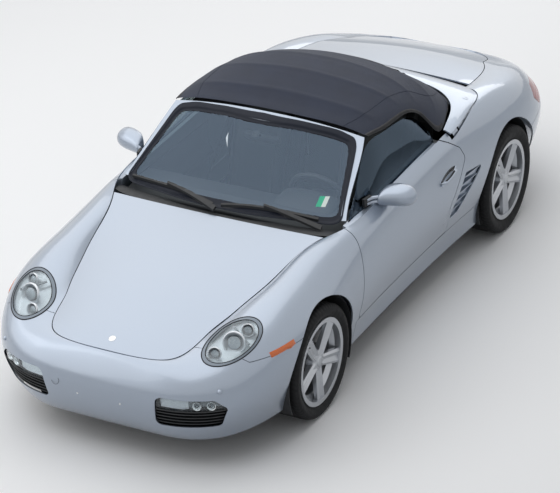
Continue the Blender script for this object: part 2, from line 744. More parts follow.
print("largest drop", round(float(np.abs(drop).max()) * 1000, 1), "mm")

# %% Bows and sag
BOWS_X = (0.05, -0.2, -0.45, -0.67)
BOW_HIGH, BOW_WIDE, SAG, CLEAR = 0.0035, 0.022, 0.004, 0.001
middle_x = cloth_grid[:, CLOTH_COLUMNS // 2, 0]
from_middle = np.abs(np.linspace(-1, 1, CLOTH_COLUMNS))
fade = np.clip((0.86 - from_middle) / 0.3, 0, 1) ** 0.7
rise = np.zeros(CLOTH_ROWS)
stations = (0.232, *BOWS_X, -1.018)
for front, back in zip(stations, stations[1:]):
    inside = (middle_x <= front) & (middle_x > back)
    rise[inside] -= SAG * np.sin(math.pi * (front - middle_x[inside]) / (front - back)) ** 2
for bow in BOWS_X:
    rise += BOW_HIGH * np.exp(-(((middle_x - bow) / BOW_WIDE) ** 2))
cloth_grid += outward * (rise[:, None] * fade[None, :] + CLEAR)[..., None]
print("cloth rises from", round(rise.min() * 1000, 1), "to", round(rise.max() * 1000, 1), "mm")

# %% Rear window opening
WINDOW_LOW, WINDOW_HIGH = 1.012, 1.150
WINDOW_FOOT, WINDOW_HEAD, WINDOW_CORNER = 0.330, 0.300, 0.045  # half widths and corner radius


def window_distance(y, z):
    """How far a point seen from behind lies outside the rear window's rounded outline."""
    low, high, corner = WINDOW_LOW, WINDOW_HIGH, WINDOW_CORNER
    middle, half_z = (low + high) / 2, (high - low) / 2
    half_y = WINDOW_FOOT + (WINDOW_HEAD - WINDOW_FOOT) * (z - low) / (high - low)
    dy, dz = abs(y) - (half_y - corner), abs(z - middle) - (half_z - corner)
    return math.hypot(max(dy, 0), max(dz, 0)) + min(max(dy, dz), 0) - corner


cloth_points = [Vector(p) for p in cloth_grid.reshape(-1, 3)]
SNAP, NUDGE, WINDOW_X = 0.00465, 1e-4, -0.55  # the window lies behind WINDOW_X
for point in cloth_points:
    if point.x < WINDOW_X:
        far = window_distance(point.y, point.z)
        if abs(far) < SNAP:
            slope_y = (window_distance(point.y + NUDGE, point.z) - far) / NUDGE
            slope_z = (window_distance(point.y, point.z + NUDGE) - far) / NUDGE
            point.y -= slope_y * far
            point.z -= slope_z * far
            start = Vector((point.x - 0.08, point.y, point.z))
            place = roof_skin.ray_cast(start, Vector((1, 0, 0)), 0.2)[0]
            if place is not None:
                point.x = place.x - 0.001


def is_window(face):
    """Whether a face of the cloth grid lies inside the window's outline."""
    middle = sum((cloth_points[k] for k in face), Vector()) / 4
    return middle.x < WINDOW_X and window_distance(middle.y, middle.z) < 0


cloth_faces = [face for face in grid_faces(CLOTH_ROWS, CLOTH_COLUMNS) if not is_window(face)]
print("faces left round the window", len(cloth_faces))

# %% Roof cloth
used = sorted({k for face in cloth_faces for k in face})
renumber = {k: n for n, k in enumerate(used)}
cloth_faces = [[renumber[k] for k in face] for face in cloth_faces]
roof = add_mesh("roof_cloth", [cloth_points[k] for k in used], cloth_faces, roof_cloth, shell)
cloth_area = sum(face.area for face in roof.data.polygons)
print("roof cloth", len(roof.data.polygons), "faces,", round(cloth_area, 3), "m2")
for label, line in (("row", cloth_grid[60]), ("column", cloth_grid[:, CLOTH_COLUMNS // 2])):
    length = np.linalg.norm(np.diff(line, axis=0), axis=1).sum()
    print("a middle", label, "is", round(float(length), 3), "m long")
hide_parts("soft_top")

# %% Roof seams
SEAM_LIFT, SEAM_R = 0.0004, 0.0016
RIM_Z, RIM_REACH, RIM_HALVINGS = 1.081, 6.0, 30


def full_turn(count):
    """That many angles, evenly round a circle."""
    return np.linspace(0, 2 * math.pi, count, endpoint=False)


def cloth_at(r, c, lift):
    """The cloth's grid point in that row and column, lifted off the cloth."""
    return Vector(cloth_grid[r, c]) + Vector(outward[r, c]) * lift


for column in (20, CLOTH_COLUMNS - 21):
    line = [cloth_at(r, column, SEAM_LIFT) for r in range(CLOTH_ROWS)]
    tube(f"roof_seam_{column}", line, SEAM_R, roof_cloth, shell)
rear_line = [cloth_at(134, c, SEAM_LIFT) for c in range(CLOTH_COLUMNS)]
tube("roof_rear_seam", rear_line, SEAM_R, roof_cloth, shell)
rim = []
for turn in full_turn(160):
    dy, dz = 0.1 * math.cos(turn), 0.1 * math.sin(turn)
    near, far = 0.0, RIM_REACH
    for _ in range(RIM_HALVINGS):
        half = (near + far) / 2
        inside = window_distance(dy * half, RIM_Z + dz * half) < 0
        near, far = (half, far) if inside else (near, half)
    place = on_skin(roof_skin, (-2, dy * near, RIM_Z + dz * near), (1, 0, 0), 0.0015)
    if place is not None:
        rim.append(place)
tube("rear_window_rim", rim, 0.0035, seal_rubber, shell, closed=True)

# %% Roof seals
ARCH_LIFTS, ARCH_ROWS = (0.0005, 0.0035, 0.0035, 0.0), int(CLOTH_ROWS * 0.72)
last_row, last_column = CLOTH_ROWS - 1, CLOTH_COLUMNS - 1
for side_name, first, step in (("right", 0, 1), ("left", last_column, -1)):
    band = []
    for k, lift in enumerate(ARCH_LIFTS):
        band += [cloth_at(r, first + step * k, lift) for r in range(ARCH_ROWS)]
    faces = grid_faces(len(ARCH_LIFTS), ARCH_ROWS)
    add_mesh(f"roof_arch_seal_{side_name}", band, faces, seal_rubber, shell)
edge = [cloth_at(r, 0, 0) for r in range(CLOTH_ROWS)]
edge += [cloth_at(last_row, c, 0) for c in range(CLOTH_COLUMNS)]
edge += [cloth_at(r, last_column, 0) for r in range(last_row, -1, -1)]
tube("roof_edge_bead", edge, 0.0028, seal_rubber, shell)
print("edge bead points", len(edge))

# %% [markdown]
# ## Windshield
#
# The glass is one smooth curved sheet. Its CAD form is a solid of small flat facets, which would
# break up a mirror-like reflection, so a smooth surface is fitted to it first: a polynomial that
# gives the distance forward for each place seen from the front. The glass is bonded to its frame,
# and a black baked-on ceramic band hides the glue all the way round. A rubber lip covers the
# joint, so that only a narrow silver rim shows outside. The lip and the band are one strip: its
# outer part stands on the frame, and its inner part lies close over the glass.

# %% A smooth surface through CAD faces
def fit_sheet(samples, even_power, power):
    """A function w(u, v), fitted to rows of (u, v, w), that is the same for u and -u."""
    u, v, w = np.array(samples).T
    middle = float(v.mean())
    powers = [(2 * i, j) for i in range(even_power + 1) for j in range(power + 1)]

    def terms(a, b):
        return [a**i * (b - middle) ** j for i, j in powers]

    factors = np.linalg.lstsq(np.stack(terms(u, v), axis=1), w, rcond=None)[0]
    worst = float(np.abs(np.stack(terms(u, v), axis=1) @ factors - w).max())
    return (lambda a, b: float(np.dot(terms(a, b), factors))), worst


FRAME_PROUD, GLASS_SUNK = 0.004, 0.004
frame_skin, glass_skin = skin_of("windshield_frame"), skin_of("windshield_glass")
samples = []
for y in np.linspace(-0.62, 0.62, 41):
    for z in np.linspace(0.87, 1.21, 35):
        for skin, depth in ((frame_skin, FRAME_PROUD), (glass_skin, -GLASS_SUNK)):
            place, normal = skin.ray_cast(Vector((2.0, y, z)), Vector((-1, 0, 0)))[:2]
            if place is not None and normal.x > 0.3 and normal.z > 0.5:
                samples.append((y, z, place.x - depth / normal.x))
windshield_x, worst = fit_sheet(samples, 3, 4)
print("windshield fit", len(samples), "samples, worst", round(worst * 1000, 2), "mm")


def on_glass(y, z, lift):
    """A point of the windshield's smooth surface, lifted along its normal."""
    step = 0.002
    slope_y = (windshield_x(y + step, z) - windshield_x(y - step, z)) / (2 * step)
    slope_z = (windshield_x(y, z + step) - windshield_x(y, z - step)) / (2 * step)
    return Vector((windshield_x(y, z), y, z)) + Vector((1, -slope_y, -slope_z)).normalized() * lift


# %% Windshield outlines
BAND_OUTER = [  # (y, z) of one half, from the middle below round the side to the middle above
    (0.0, 0.862), (0.35, 0.857), (0.692, 0.838), (0.636, 0.985),
    (0.574, 1.150), (0.45, 1.184), (0.23, 1.207), (0.0, 1.2155),
]
BAND_INNER = [
    (0.0, 0.898), (0.34, 0.891), (0.652, 0.866), (0.601, 0.985),
    (0.541, 1.131), (0.42, 1.156), (0.215, 1.178), (0.0, 1.180),
]
BAND_STEP = [
    (0.0, 0.868), (0.35, 0.863), (0.682, 0.846), (0.622, 0.985),
    (0.557, 1.136), (0.43, 1.165), (0.22, 1.188), (0.0, 1.1895),
]
LOW_CORNER, HIGH_CORNER = 2, 4  # which of those points are the pane's corners
BAND_ROWS = [  # from which outline to which, share of the way, lift off the surface
    (BAND_OUTER, BAND_STEP, 0.0, 0.0040),
    (BAND_OUTER, BAND_STEP, 0.08, 0.0056),
    (BAND_OUTER, BAND_STEP, 0.36, 0.0056),
    (BAND_OUTER, BAND_STEP, 0.64, 0.0056),
    (BAND_OUTER, BAND_STEP, 0.92, 0.0054),
    (BAND_STEP, BAND_INNER, 0.0, -0.0024),
    (BAND_STEP, BAND_INNER, 0.5, -0.0025),
    (BAND_STEP, BAND_INNER, 1.0, -0.0026),
]


def rounded(corners, share=0.3, arc=12, run=8):
    """An open outline through corners, each rounded off over a share of the runs beside it."""
    line = [Vector(corners[0])]
    for a, b, c in zip(corners, corners[1:], corners[2:]):
        a, b, c = Vector(a), Vector(b), Vector(c)
        start, end = b.lerp(a, share), b.lerp(c, share)
        last = line[-1]
        line += [last.lerp(start, k / run) for k in range(1, run)]
        for k in range(arc + 1):
            t = k / arc
            line.append(start * (1 - t) ** 2 + b * (2 * t * (1 - t)) + end * t**2)
    last = line[-1]
    return line + [last.lerp(Vector(corners[-1]), k / run) for k in range(1, run + 1)]


print("half an outline has", len(rounded(BAND_OUTER)), "points")

# %% Windshield band
PROBE_HIGH, PROBE_ASIDE, PROUD = 0.04, 0.012, 0.0012


def on_frame(y, z, lift):
    """A point of the surface, raised where the CAD frame stands higher under it."""
    point, above = on_glass(y, z, lift), on_glass(y, z, PROBE_HIGH)
    inwards = (point - above).normalized()
    for dy in (-PROBE_ASIDE, 0.0, PROBE_ASIDE):
        start = above + Vector((0, dy, 0))
        place = frame_skin.ray_cast(start, inwards, 2 * PROBE_HIGH)[0]
        if place is not None:
            lift = max(lift, PROBE_HIGH - (place - start).length + PROUD)
    return on_glass(y, z, lift)


def band_row(start, end, share, lift):
    """One closed row of the band, a share of the way between outlines, lifted off the surface."""
    half = [o.lerp(i, share) for o, i in zip(rounded(start), rounded(end))]
    other = [Vector((-p.x, p.y)) for p in reversed(half[1:-1])]
    sheet_point = on_frame if lift > 0 else on_glass
    return [sheet_point(p.x, p.y, lift) for p in half + other]


band = [band_row(*row) for row in BAND_ROWS]
band_count = len(band[0])
faces = grid_faces(len(band), band_count, closed=True)
add_mesh("windshield_band", [p for row in band for p in row], faces, ceramic_band, shell)
print("windshield band", len(band) * band_count, "points")

# %% Windshield glass
GLASS_LIFT, PANE_ROWS, PANE_COLUMNS = -0.005, 25, 61


def evenly(line, count):
    """An open line's points, shared out again at even distances."""
    line = np.array(line)
    steps = np.linalg.norm(np.diff(line, axis=0), axis=1)
    along = np.concatenate([[0], np.cumsum(steps)])
    places = np.linspace(0, along[-1], count)
    return np.stack([np.interp(places, along, line[:, k]) for k in range(2)], axis=1)


half = [tuple(p) for p in rounded(BAND_STEP)]
low_turn, high_turn = (
    min(range(len(half)), key=lambda k: math.dist(half[k], BAND_STEP[corner]))
    for corner in (LOW_CORNER, HIGH_CORNER)
)
flip_y = np.array([-1, 1])
low_half, high_half = half[: low_turn + 1], half[high_turn:][::-1]
low_edge = evenly([(-y, z) for y, z in low_half[:0:-1]] + low_half, PANE_COLUMNS)
high_edge = evenly([(-y, z) for y, z in high_half[:0:-1]] + high_half, PANE_COLUMNS)
side_edge = evenly(half[low_turn : high_turn + 1], PANE_ROWS)
pane = []
for v, rim in zip(np.linspace(0, 1, PANE_ROWS), side_edge):
    for u, low, high in zip(np.linspace(0, 1, PANE_COLUMNS), low_edge, high_edge):
        low_chord = (1 - u) * low_edge[0] + u * low_edge[-1]
        high_chord = (1 - u) * high_edge[0] + u * high_edge[-1]
        corner = (1 - v) * low_chord + v * high_chord
        y, z = (1 - v) * low + v * high + (1 - u) * rim * flip_y + u * rim - corner
        pane.append(on_glass(y, z, GLASS_LIFT))
faces = grid_faces(PANE_ROWS, PANE_COLUMNS)
windshield = add_mesh("windshield_pane", pane, faces, windshield_tint, shell)
print("pane faces out", windshield.data.polygons[len(faces) // 2].normal.x > 0)
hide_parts("windshield_glass")

# %% Inspection sticker
STICKER_AT, STICKER_HALF, STICKER_LIFT = (0.535, 0.928), (0.026, 0.019), -0.0044
STICKER_PARTS = (("left", -1.0, 0.1, sticker_green), ("right", 0.1, 1.0, sticker_white))
for part, low, high, finish in STICKER_PARTS:
    patch = []
    for up in np.linspace(-1, 1, 4):
        for across in np.linspace(low, high, 5):
            y, z = STICKER_AT[0] + across * STICKER_HALF[0], STICKER_AT[1] + up * STICKER_HALF[1]
            patch.append(on_glass(y, z, STICKER_LIFT))
    add_mesh(f"windshield_sticker_{part}", patch, grid_faces(4, 5), finish, shell)
print("sticker", [round(2000 * half) for half in STICKER_HALF], "mm wide and high")

# %% [markdown]
# ## Nose details
#
# A clear lamp fills the top of each bumper intake: a striped reflector inside and two bright bowls
# outside. Amber side lamps sit in the seam between bumper and fender. Small things finish the
# nose: a washer nozzle under each headlamp, two screws where a plate would go, a round cover over
# the towing thread, and a bare round badge on the hood.

# %% Bumper lamps
nose_skin = skin_of("front_bumper", "bumper_lamps", "front_fenders", "hood")
fog_skin = skin_of("bumper_lamps")
FOG_Y, FOG_Z = (0.362, 0.655), (0.404, 0.458)
FOG_CUP = [(0.024, 0.006), (0.0225, 0.007), (0.017, -0.004), (0.009, -0.009), (0.0005, -0.011)]
FOG_BULB = [(0.0055, -0.008), (0.0055, -0.001), (0.004, 0.003), (0.0003, 0.0045)]


def fog_point(side, across, up, depth):
    """A point behind the bumper lamp's cover, at shares of its width and height."""
    y = FOG_Y[0] + (FOG_Y[1] - FOG_Y[0]) * across
    z = FOG_Z[0] + (FOG_Z[1] - FOG_Z[0]) * up - 0.012 * across
    place = fog_skin.ray_cast(Vector((3, side * y, z)), Vector((-1, 0, 0)))[0]
    if place is None:
        place = fog_skin.find_nearest(Vector((2.1 - 0.5 * across, side * y, z)))[0]
    return place - Vector((depth, 0, 0))


for side_name, side in SIDES:
    ribs = []
    for k, up in enumerate(np.linspace(0, 1, 14)):
        depth = 0.016 + 0.003 * (k % 2)
        ribs += [fog_point(side, across, up, depth) for across in np.linspace(0, 0.5, 10)]
    add_mesh(f"bumper_lamp_ribs_{side_name}", ribs, grid_faces(14, 10), lamp_silver, shell, smooth=False)
    back = [fog_point(side, a, u, 0.018) for u in np.linspace(0, 1, 6) for a in np.linspace(0.5, 1, 10)]
    add_mesh(f"bumper_lamp_back_{side_name}", back, grid_faces(6, 10), dark_chrome, shell)
    for k, across in enumerate((0.64, 0.86)):
        place = fog_point(side, across, 0.5, 0.014)
        out, name = (0.94, 0.3 * side, 0.1), f"{side_name}_{k}"
        spun(f"bumper_lamp_cup_{name}", FOG_CUP, place, out, reflector, shell, steps=32)
        spun(f"bumper_lamp_bulb_{name}", FOG_BULB, place, out, lamp_glass, shell, steps=20)
print("bumper lamps reach from y", *FOG_Y, "m")

# %% Side lamps, nozzles and covers
fender_side = skin_of("front_fenders", "front_bumper")
MARKER_FRONT, MARKER_REAR = (1.738, 0.613), (1.560, 0.616)
for side_name, side in SIDES:
    rows = []
    for share_z, lift in ((-1, 0.0), (-0.82, 0.004), (0.0, 0.0052), (0.82, 0.004), (1, 0.0)):
        for share_x in np.linspace(0, 1, 14):
            x = MARKER_FRONT[0] + (MARKER_REAR[0] - MARKER_FRONT[0]) * share_x
            z = MARKER_FRONT[1] + (MARKER_REAR[1] - MARKER_FRONT[1]) * share_x + 0.014 * share_z
            end = 0.0 if share_x in (0.0, 1.0) else 1.0
            place = on_skin(fender_side, (x, side * 1.6, z), (0, -side, 0), lift * end + 0.0004)
            rows.append(place or Vector((x, side * 0.86, z)))
    add_mesh(f"side_lamp_{side_name}", rows, grid_faces(5, 14), amber_lens, shell)
    nozzle = on_skin(nose_skin, (3, side * 0.655, 0.508), (-1, 0, 0), 0.0)
    if nozzle is not None:
        dome = [(0.013, -0.003), (0.0125, 0.003), (0.010, 0.007), (0.005, 0.0095), (0.0002, 0.0105)]
        spun(f"lamp_washer_{side_name}", dome, nozzle, (0.85, 0.25 * side, 0.45), paint, shell, steps=28)
for k, (y, z) in enumerate(((0.13, 0.372), (-0.13, 0.372))):
    place = on_skin(nose_skin, (3, y, z), (-1, 0, 0), 0.0)
    head = [(0.0055, 0.0), (0.005, 0.002), (0.0035, 0.003), (0.0033, 0.0012), (0.0002, 0.001)]
    spun(f"plate_screw_{k}", head, place, (1, 0, 0.05), bright_steel, shell, steps=24)
tow = on_skin(nose_skin, (3, -0.262, 0.423), (-1, 0, 0), 0.0006)
ring = [(0.026, -0.0004), (0.0255, 0.0004), (0.0245, 0.0004), (0.024, -0.0004)]
spun("tow_cover_ring", ring, tow, (0.97, -0.16, 0.14), seal_rubber, shell, steps=48)
badge_at, badge_out = under(skin_of("hood"), 1.985, 0)
badge = [(0.0002, 0.0028), (0.016, 0.0026), (0.0195, 0.0016), (0.0205, 0.0), (0.0205, -0.001)]
spun("bare_badge", badge, badge_at, badge_out, bright_steel, "hood", steps=40)
print("badge at height", round(badge_at.z, 3), "m")

# %% [markdown]
# ## Tail details
#
# The tail lamp is one red cover, with three fine ribs moulded along it. The number plate's place
# is a shallow black-edged frame on the bumper.

# %% Tail pieces
tail_skin = skin_of("tail_lamps")
rear_skin = skin_of("rear_bumper", "tail_lamps", "rear_quarters")
for side_name, side in SIDES:
    for k, z in enumerate((0.632, 0.650, 0.668)):
        line = []
        for y in np.linspace(0.50, 0.90, 40):
            place = tail_skin.ray_cast(Vector((-3.2, side * y, z)), Vector((1, 0, 0)))[0]
            if place is not None:
                line.append(place + Vector((0.0010, 0, 0)))
        if len(line) > 3:
            tube(f"tail_lamp_rib_{side_name}_{k}", line, 0.0016, red_lens, shell)
PLATE_HALF, PLATE_Z = (0.27, 0.062), 0.46
plate_edge = [(-1, -1), (1, -1), (1, 1), (-1, 1)]
frame_line = []
for a, b in zip(plate_edge, plate_edge[1:] + plate_edge[:1]):
    for t in np.linspace(0, 0.96, 25):
        y = (a[0] + (b[0] - a[0]) * t) * PLATE_HALF[0]
        z = PLATE_Z + (a[1] + (b[1] - a[1]) * t) * PLATE_HALF[1]
        place = on_skin(rear_skin, (-3, y, z), (1, 0, 0), -0.0025)
        if place is not None:
            frame_line.append(place)
tube("plate_place_edge", frame_line, 0.0035, black_plastic, shell, closed=True)
print("plate's place", [round(2 * half, 3) for half in PLATE_HALF], "m wide and high")

# %% [markdown]
# ## Cabin
#
# Little of the cabin shows through tinted glass, but its main forms do: the hooded dials behind
# the steering wheel, the air vents, the console's switches, the mirror on its round foot, and the
# sun visors folded against the roof.

# %% Dials and vents
STEERING_Y, SQUARE = 0.36, ((-1, -1), (1, -1), (1, 1), (-1, 1))
dash_skin = skin_of("dashboard")
hood_rows = []
for x, grow in ((0.575, 0.0), (0.52, 0.5), (0.45, 0.9), (0.392, 1.0), (0.385, 0.98)):
    for turn in np.linspace(0, math.pi, 33):
        y = STEERING_Y + 0.185 * math.cos(turn)
        z = 0.80 + (0.058 * grow) * math.sin(turn) ** 0.7 + 0.004
        hood_rows.append((x, y, z))
add_mesh("dial_hood", hood_rows, grid_faces(5, 33), dash_trim, shell)
for k, (dy, radius) in enumerate(((-0.105, 0.045), (0.0, 0.056), (0.105, 0.045))):
    place = (0.43, STEERING_Y + dy, 0.802)
    dial = [(0.0002, 0.0), (radius * 0.86, 0.0), (radius * 0.9, 0.002)]
    dial += [(radius, 0.006), (radius * 1.04, 0.0)]
    spun(f"dial_{k}", dial, place, (-0.82, 0, 0.57), gloss_plastic, shell, steps=40)
for k, y in enumerate((-0.56, -0.12, 0.12, 0.60)):
    place = on_skin(dash_skin, (0.1, y, 0.735), (1, 0, 0), 0.002)
    if place is None:
        continue
    for row in range(5):
        x, z = place.x - 0.002, place.z + (row - 2) * 0.012
        start, end = (x, y - 0.052, z), (x, y + 0.052, z)
        bar(f"vent_slat_{k}_{row}", start, end, 0.0035, 0.012, gloss_plastic, shell)
    edge = [(place.x - 0.003, y + a * 0.058, place.z + b * 0.032) for a, b in SQUARE]
    tube(f"vent_edge_{k}", edge, 0.003, dash_trim, shell, closed=True)
print("dials and vents done")

# %% Mirror and visors
GLASS_TOP = on_glass(0.0, 1.150, -0.012)
foot = [(0.0002, -0.012), (0.02, -0.011), (0.026, -0.004), (0.027, 0.0)]
spun("cabin_mirror_foot", foot, GLASS_TOP, (0.55, 0, 0.84), black_plastic, shell, steps=36)
mirror_middle = GLASS_TOP + Vector((-0.075, 0.0, -0.062))
stem = [GLASS_TOP - Vector((0.006, 0, 0.008)), GLASS_TOP + Vector((-0.04, 0, -0.028)), mirror_middle]
tube("cabin_mirror_stem", stem, 0.008, black_plastic, shell)
CASE_ROWS = [  # how far in front of its middle, and the share of its full size there
    (0.022, 0.02), (0.02, 0.7), (0.01, 0.94), (-0.004, 1.0), (-0.014, 0.97), (-0.016, 0.9),
    (-0.0135, 0.02),
]
case = []
for x, share in CASE_ROWS:
    for turn in full_turn(48):
        c, s = math.cos(turn), math.sin(turn)
        y = 0.118 * share * math.copysign(abs(c) ** 0.6, c)
        z = 0.033 * share * math.copysign(abs(s) ** 0.7, s)
        case.append(mirror_middle + Vector((x + z * 0.25, y, z)))
faces = grid_faces(len(CASE_ROWS), 48, closed=True)
add_mesh("cabin_mirror", case, faces, black_plastic, shell)
for side_name, side in SIDES:
    visor = []
    for y in np.linspace(0.14, 0.53, 14):
        for t in full_turn(16):
            edge = min(1.0, 8 * min((y - 0.135), (0.535 - y)) + 0.25)
            x = 0.145 + 0.075 * edge * math.cos(t)
            z = 1.205 - 0.10 * y * y * 1.6 - 0.17 * (x - 0.145) + 0.009 * edge * math.sin(t)
            visor.append((x, side * y, z - 0.012))
    add_mesh(f"sun_visor_{side_name}", visor, grid_faces(14, 16, closed=True), dash_trim, shell)
print("cabin mirror at height", round(mirror_middle.z, 3), "m")

# %% Steering wheel and console
WHEEL_AT, WHEEL_AXIS = Vector((0.290, 0.360, 0.770)), Vector((-0.92, 0, 0.38))
WHEEL_SEAM_R = 0.1665
pad = [(0.0002, 0.016), (0.035, 0.0145), (0.058, 0.010), (0.068, 0.002), (0.070, -0.008)]
pad_at = WHEEL_AT + WHEEL_AXIS.normalized() * 0.006
spun("wheel_pad", pad, pad_at, WHEEL_AXIS, leather, "steering_wheel", steps=48)
across, up, along = frame_of(WHEEL_AXIS)
stitch = []
for t in full_turn(120):
    ring = (across * math.cos(t) + up * math.sin(t)) * WHEEL_SEAM_R
    stitch.append(WHEEL_AT + ring + along * 0.001)
tube("wheel_seam", stitch, 0.0012, seal_rubber, "steering_wheel", closed=True)
gaiter = [(0.0002, 0.105), (0.018, 0.104), (0.024, 0.095), (0.021, 0.078), (0.010, 0.068)]
gaiter += [(0.012, 0.05), (0.03, 0.026), (0.05, 0.006), (0.054, -0.002)]
spun("gear_lever", gaiter, (0.17, 0.0, 0.44), (-0.1, 0, 1), leather, shell, steps=40)
lever = [(-0.18, 0.045, 0.435), (-0.10, 0.045, 0.47), (0.0, 0.045, 0.475)]
tube("parking_brake_lever", lever, 0.012, leather, shell)
for k in range(3):
    place = on_skin(skin_of("centre_console"), (0.25 + 0.04 * k, 0.0, 1.2), (0, 0, -1), 0.0)
    if place is not None:
        knob = [(0.0002, 0.012), (0.012, 0.0115), (0.0145, 0.009), (0.016, 0.0), (0.016, -0.002)]
        spun(f"console_knob_{k}", knob, place, (-0.6, 0, 0.8), gloss_plastic, shell, steps=28)
print("cabin pieces done")

# %% [markdown]
# ## Seats
#
# Each seat is foam under leather: a cushion and a backrest with raised side rolls and a flatter
# middle with sewn channels. The pad starts as a smooth loft a little smaller than the foam, with
# the rolls in it. Then a short cloth simulation blows it up from inside, as foam pushes out its
# cover, and its movement is capped so that it stays in its shell. The seams are laid on after it,
# because it would smooth them away.

# %% Pad shape
SEAT_MIDDLE = 0.36
PAD_ROWS, PAD_COLUMNS = 26, 25
ROLL_AT, ROLL_WIDE = 0.8, 0.17  # the side rolls' middle and width, as shares of the half width
HOLLOW, HOLLOW_WIDE = 0.012, 0.5


def pad_grid(front, back, half_width, roll):
    """A closed pad between a front and a back line in (x, z), with side rolls of that height."""
    front_line, back_line = smooth_line(front, PAD_ROWS), smooth_line(back, PAD_ROWS)
    points = []
    for (fx, fz), (bx, bz) in zip(front_line, back_line):
        ring_front, ring_back = [], []
        toward = np.array([fx - bx, fz - bz])
        toward = toward / (np.linalg.norm(toward) + 1e-9)
        for share in np.linspace(-1, 1, PAD_COLUMNS):
            rolls = roll * math.exp(-(((abs(share) - ROLL_AT) / ROLL_WIDE) ** 2))
            lift = rolls - HOLLOW * math.exp(-((share / HOLLOW_WIDE) ** 2))
            y = SEAT_MIDDLE + half_width * share
            round_off = 0.5 * (1 - math.sqrt(max(0.0, 1 - abs(share) ** 6)))
            f = np.array([fx, fz]) + toward * lift
            b = np.array([bx, bz])
            middle = (f + b) / 2
            f, b = f + (middle - f) * round_off, b + (middle - b) * round_off
            ring_front.append((f[0], y, f[1]))
            ring_back.append((b[0], y, b[1]))
        points += ring_front + ring_back[::-1]
    return points


print("a pad has", PAD_ROWS, "rings of", 2 * PAD_COLUMNS, "points")

# %% Pad lines
CUSHION_TOP = [(-0.245, 0.352), (-0.15, 0.368), (0.0, 0.386), (0.10, 0.402), (0.145, 0.385), (0.158, 0.345)]
CUSHION_FOOT = [(-0.250, 0.285), (-0.16, 0.287), (0.0, 0.295), (0.08, 0.30), (0.125, 0.305), (0.150, 0.312)]
BACK_FRONT = [
    (-0.205, 0.40), (-0.235, 0.52), (-0.275, 0.66), (-0.318, 0.80), (-0.365, 0.92),
    (-0.408, 1.015), (-0.44, 1.035),
]
BACK_REAR = [
    (-0.262, 0.40), (-0.31, 0.52), (-0.36, 0.66), (-0.415, 0.80), (-0.452, 0.92),
    (-0.478, 0.99), (-0.470, 1.030),
]
PADS = {  # front line, back line, half width, roll height, CAD node
    "cushion": (CUSHION_TOP, CUSHION_FOOT, 0.196, 0.026, "seat_cushions"),
    "backrest": (BACK_FRONT, BACK_REAR, 0.190, 0.024, "seat_backrests"),
}
print("pads", list(PADS))


# %% Closed pads
def closed_pad(name, points):
    """The pad as a closed mesh, with its two end rings filled."""
    ring = 2 * PAD_COLUMNS
    mesh = bmesh.new()
    verts = [mesh.verts.new(p) for p in points]
    for face in grid_faces(PAD_ROWS, ring, closed=True):
        mesh.faces.new([verts[k] for k in face])
    mesh.faces.new(verts[:ring][::-1])
    mesh.faces.new(verts[-ring:])
    bmesh.ops.recalc_face_normals(mesh, faces=mesh.faces)
    data = bpy.data.meshes.new(name)
    mesh.to_mesh(data)
    mesh.free()
    piece = bpy.data.objects.new(name, data)
    scene.collection.objects.link(piece)
    return piece


def apply_all(piece):
    """Turns a piece's modifiers into its mesh."""
    graph = bpy.context.evaluated_depsgraph_get()
    mesh = bpy.data.meshes.new_from_object(piece.evaluated_get(graph))
    piece.modifiers.clear()
    piece.data = mesh


print("meshes so far", len(bpy.data.meshes))

# %% Swelling
VOXEL, CAP, SWELL_FRAMES, PRESSURE = 0.009, 0.010, 20, 4.0


def swell(piece):
    """Blows a closed pad up by a short cloth simulation, with its movement capped."""
    remesh = piece.modifiers.new("remesh", "REMESH")
    remesh.mode, remesh.voxel_size = "VOXEL", VOXEL
    apply_all(piece)
    start = np.empty(len(piece.data.vertices) * 3)
    piece.data.vertices.foreach_get("co", start)
    cloth = piece.modifiers.new("cloth", "CLOTH")
    cloth.settings.use_pressure = True
    cloth.settings.uniform_pressure_force = PRESSURE
    cloth.settings.effector_weights.gravity = 0.0
    cloth.settings.quality = 4
    for step in range(1, SWELL_FRAMES + 1):
        scene.frame_set(step)
    apply_all(piece)
    scene.frame_set(1)
    end = np.empty_like(start)
    piece.data.vertices.foreach_get("co", end)
    move = (end - start).reshape(-1, 3)
    length = np.linalg.norm(move, axis=1, keepdims=True)
    move *= np.minimum(1.0, CAP / np.maximum(length, 1e-9))
    piece.data.vertices.foreach_set("co", (start.reshape(-1, 3) + move).ravel())
    most = round(float(length.max()) * 1000, 1)
    print(piece.name, "moved at most", most, "mm, capped at", CAP * 1000)
    smooth = piece.modifiers.new("smooth", "SMOOTH")
    smooth.factor, smooth.iterations = 0.5, 4
    finer = piece.modifiers.new("finer", "SUBSURF")
    finer.levels = finer.render_levels = 1
    apply_all(piece)
    piece.data.materials.clear()
    piece.data.materials.append(leather)
    piece.data.polygons.foreach_set("use_smooth", [True] * len(piece.data.polygons))


print("pads swell over", SWELL_FRAMES, "frames, or not at all in a quick run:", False)

